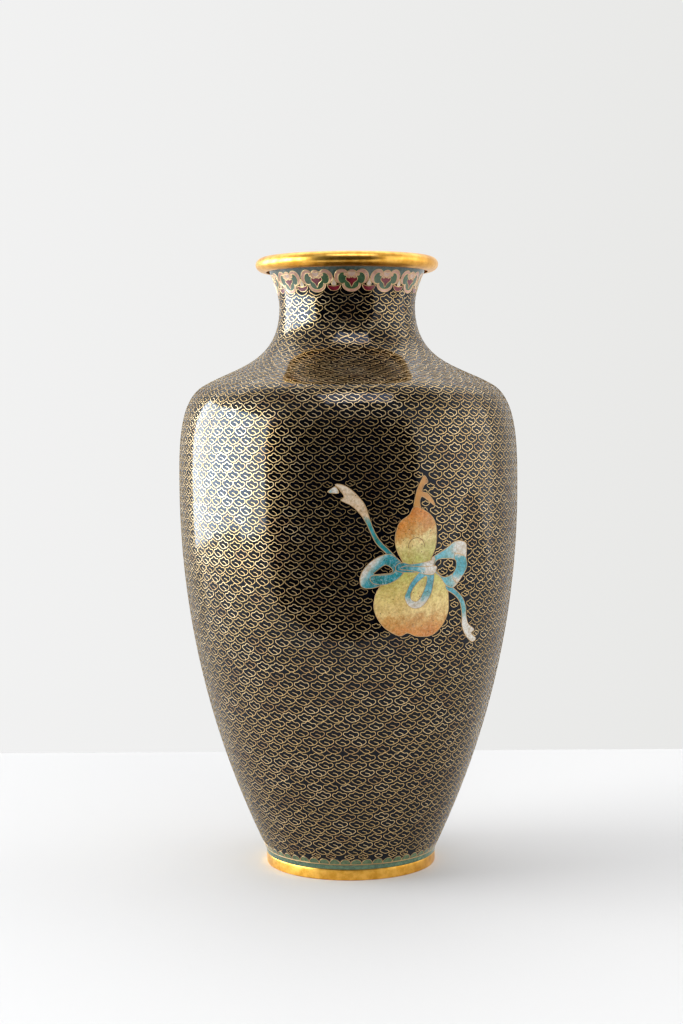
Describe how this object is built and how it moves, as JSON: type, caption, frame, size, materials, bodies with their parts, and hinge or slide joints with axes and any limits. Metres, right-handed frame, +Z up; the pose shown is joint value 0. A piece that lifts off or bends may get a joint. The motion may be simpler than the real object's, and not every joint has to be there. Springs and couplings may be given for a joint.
{
  "type": "cloisonne vase",
  "caption": "Round-shouldered enamelled copper vase with a narrow neck, rolled gilt lip and foot band, dark cloud-patterned ground and a gourd tied with a ribbon.",
  "frame": {"origin": "centre of the foot band's underside, where the vase stands", "axes": "+Z up along the vase's own axis; -Y is the front, and the gourd is 22 degrees to the right of it, towards +X"},
  "size_m": [0.1414, 0.1414, 0.254],
  "materials": {
    "copper": "bare copper sheet, brazed",
    "gilt": "gilt brass, slightly worn and mottled",
    "wire": "gilt copper wire, ground level with the enamel",
    "dark_enamel": "near-black fired enamel, polished",
    "turquoise_enamel": "turquoise counter-enamel, slightly rippled",
    "collar_green": "grey-green fired enamel",
    "pink_enamel": "pink fired enamel",
    "leaf_green": "leaf-green fired enamel",
    "maroon_enamel": "dark red fired enamel",
    "border_green": "green fired enamel, clouded",
    "gourd_enamel": "orange to pale yellow fired enamel, shaded and pitted",
    "ribbon_enamel": "teal to off-white fired enamel, shaded"
  },
  "bodies": {
    "root": {"lower_body_shell": "copper", "shoulder_shell": "copper", "neck_shell": "copper", "base_plate": "copper", "foot_ring": "gilt", "lip_ring": "gilt", "ground_enamel": "dark_enamel", "inner_enamel": "turquoise_enamel", "base_enamel": "turquoise_enamel", "collar_ground_enamel": "collar_green", "collar_head_enamel": "pink_enamel", "collar_leaf_enamel": "leaf_green", "collar_heart_enamel": "maroon_enamel", "collar_drop_enamel": "maroon_enamel", "collar_wires": "wire", "border_strip_enamel": "border_green", "border_scallop_enamel": "border_green", "border_ring_wire": "wire", "border_scallop_wires": "wire", "gourd_lower_enamel": "gourd_enamel", "gourd_upper_enamel": "gourd_enamel", "gourd_stem_enamel": "gourd_enamel", "gourd_wires": "wire", "ribbon_tail_left_enamel": "ribbon_enamel", "ribbon_loop_left_enamel": "ribbon_enamel", "ribbon_sash_enamel": "ribbon_enamel", "ribbon_loop_middle_enamel": "ribbon_enamel", "ribbon_loop_right_enamel": "ribbon_enamel", "ribbon_tail_right_enamel": "ribbon_enamel", "ribbon_wires": "wire"}
  },
  "joints": []
}
